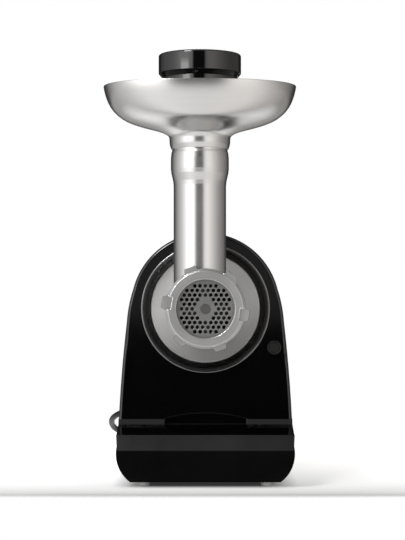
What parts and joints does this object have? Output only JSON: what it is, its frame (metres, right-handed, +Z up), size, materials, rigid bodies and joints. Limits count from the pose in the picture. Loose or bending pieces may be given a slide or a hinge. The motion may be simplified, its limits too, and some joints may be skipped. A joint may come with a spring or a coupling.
{
  "type": "electric meat grinder",
  "caption": "Table-top electric meat grinder: black arched housing on a base, aluminium head with plate and ring nut, feed tube, oval tray and pusher.",
  "frame": {"origin": "on the table, under the auger's axis, half-way along the housing", "axes": "+X to the right seen from the front, +Y to the back, +Z up"},
  "size_m": [0.1965, 0.4776, 0.406],
  "materials": {
    "gloss_black": "glossy",
    "satin_black": "fine satin",
    "cast_aluminium": "polished and satin",
    "spun_aluminium": "satin",
    "brushed_steel": "brushed",
    "tool_steel": "ground",
    "zinc_steel": "zinc plated",
    "nylon": "moulded",
    "grey_nylon": "moulded",
    "bronze": "sintered",
    "copper": "enamelled wire",
    "lamination": "stacked sheets",
    "carbon": "pressed",
    "pale_rubber": "soft",
    "lead_sheath": "smooth",
    "nickel": "plated"
  },
  "bodies": {
    "housing": {"base_screws": "zinc_steel", "base_shell": "satin_black", "bottom_plate": "satin_black", "brush_holders": "bronze", "button_guide": "satin_black", "button_spring": "tool_steel", "carbon_brushes": "carbon", "collar_ring": "gloss_black", "cord_coil": "lead_sheath", "cord_gland": "lead_sheath", "cord_tail": "lead_sheath", "cord_tie": "satin_black", "field_coils": "copper", "first_axle": "tool_steel", "foot_front_left": "pale_rubber", "foot_front_right": "pale_rubber", "foot_rear_left": "pale_rubber", "foot_rear_right": "pale_rubber", "front_cover": "gloss_black", "gearbox_cover": "grey_nylon", "gearbox_housing": "grey_nylon", "gearbox_screws": "zinc_steel", "housing_screws": "zinc_steel", "hub_disc": "brushed_steel", "hub_socket": "cast_aluminium", "main_housing": "gloss_black", "mains_cord": "lead_sheath", "motor_bearing_front": "tool_steel", "motor_bearing_rear": "tool_steel", "motor_bolts": "zinc_steel", "motor_end_frame": "zinc_steel", "motor_stator": "lamination", "output_bush_front": "bronze", "output_bush_rear": "bronze", "plug_body": "lead_sheath", "plug_pins": "nickel", "rear_cover": "gloss_black", "second_axle": "tool_steel", "switch_body": "satin_black"},
    "head": {"grinder_head": "cast_aluminium", "head_bush": "bronze", "cutting_plate": "tool_steel"},
    "nut": {"ring_nut": "cast_aluminium"},
    "auger_drive": {"auger": "cast_aluminium", "cutting_knife": "tool_steel", "output_shaft": "tool_steel", "output_gear": "nylon"},
    "second_wheel": {"second_gear": "nylon"},
    "first_wheel": {"first_gear": "nylon"},
    "rotor": {"armature_core": "lamination", "armature_windings": "copper", "commutator": "copper", "cooling_fan": "grey_nylon", "motor_shaft": "tool_steel"},
    "tray": {"hopper_tray": "spun_aluminium"},
    "pusher": {"pusher_body": "gloss_black", "pusher_cap": "gloss_black"},
    "button": {"release_button": "gloss_black"},
    "rocker": {"switch_rocker": "satin_black"}
  },
  "joints": [
    {"name": "motor_spin", "type": "hinge", "parent": "housing", "child": "rotor", "pos_m": [0, 0, 0.07246], "axis": [0, 1, 0], "continuous": true},
    {"name": "first_gear_spin", "type": "hinge", "parent": "housing", "child": "first_wheel", "pos_m": [-0.008, 0, 0.09877], "axis": [0, 1, 0], "continuous": true},
    {"name": "second_gear_spin", "type": "hinge", "parent": "housing", "child": "second_wheel", "pos_m": [0.02, 0, 0.12372], "axis": [0, 1, 0], "continuous": true},
    {"name": "auger_spin", "type": "hinge", "parent": "housing", "child": "auger_drive", "pos_m": [0, 0, 0.169], "axis": [0, 1, 0], "continuous": true},
    {"name": "head_turn", "type": "hinge", "parent": "housing", "child": "head", "pos_m": [0, 0, 0.169], "axis": [0, 1, 0], "range_deg": [0, 45]},
    {"name": "ring_nut_turn", "type": "hinge", "parent": "head", "child": "nut", "pos_m": [0, 0, 0.169], "axis": [0, -1, 0], "range_deg": [0, 450]},
    {"name": "tray_lift", "type": "slide", "parent": "head", "child": "tray", "axis": [0, 0, 1], "range_m": [0, 0.05]},
    {"name": "pusher_slide", "type": "slide", "parent": "tray", "child": "pusher", "axis": [0, 0, 1], "range_m": [0, 0.19]},
    {"name": "release_button_press", "type": "slide", "parent": "housing", "child": "button", "axis": [0, 1, 0], "range_m": [0, 0.004], "stiffness_N_per_m": 400, "springref_m": -0.003, "deforming": ["button_spring"]},
    {"name": "switch_tip", "type": "hinge", "parent": "housing", "child": "rocker", "pos_m": [0, 0.115, 0.19], "axis": [1, 0, 0], "range_deg": [-24, 0]}
  ],
  "couplings": [
    {"joint": "first_gear_spin", "follows": "motor_spin", "ratio": -0.22222},
    {"joint": "second_gear_spin", "follows": "motor_spin", "ratio": 0.055556},
    {"joint": "auger_spin", "follows": "motor_spin", "ratio": -0.012346}
  ]
}
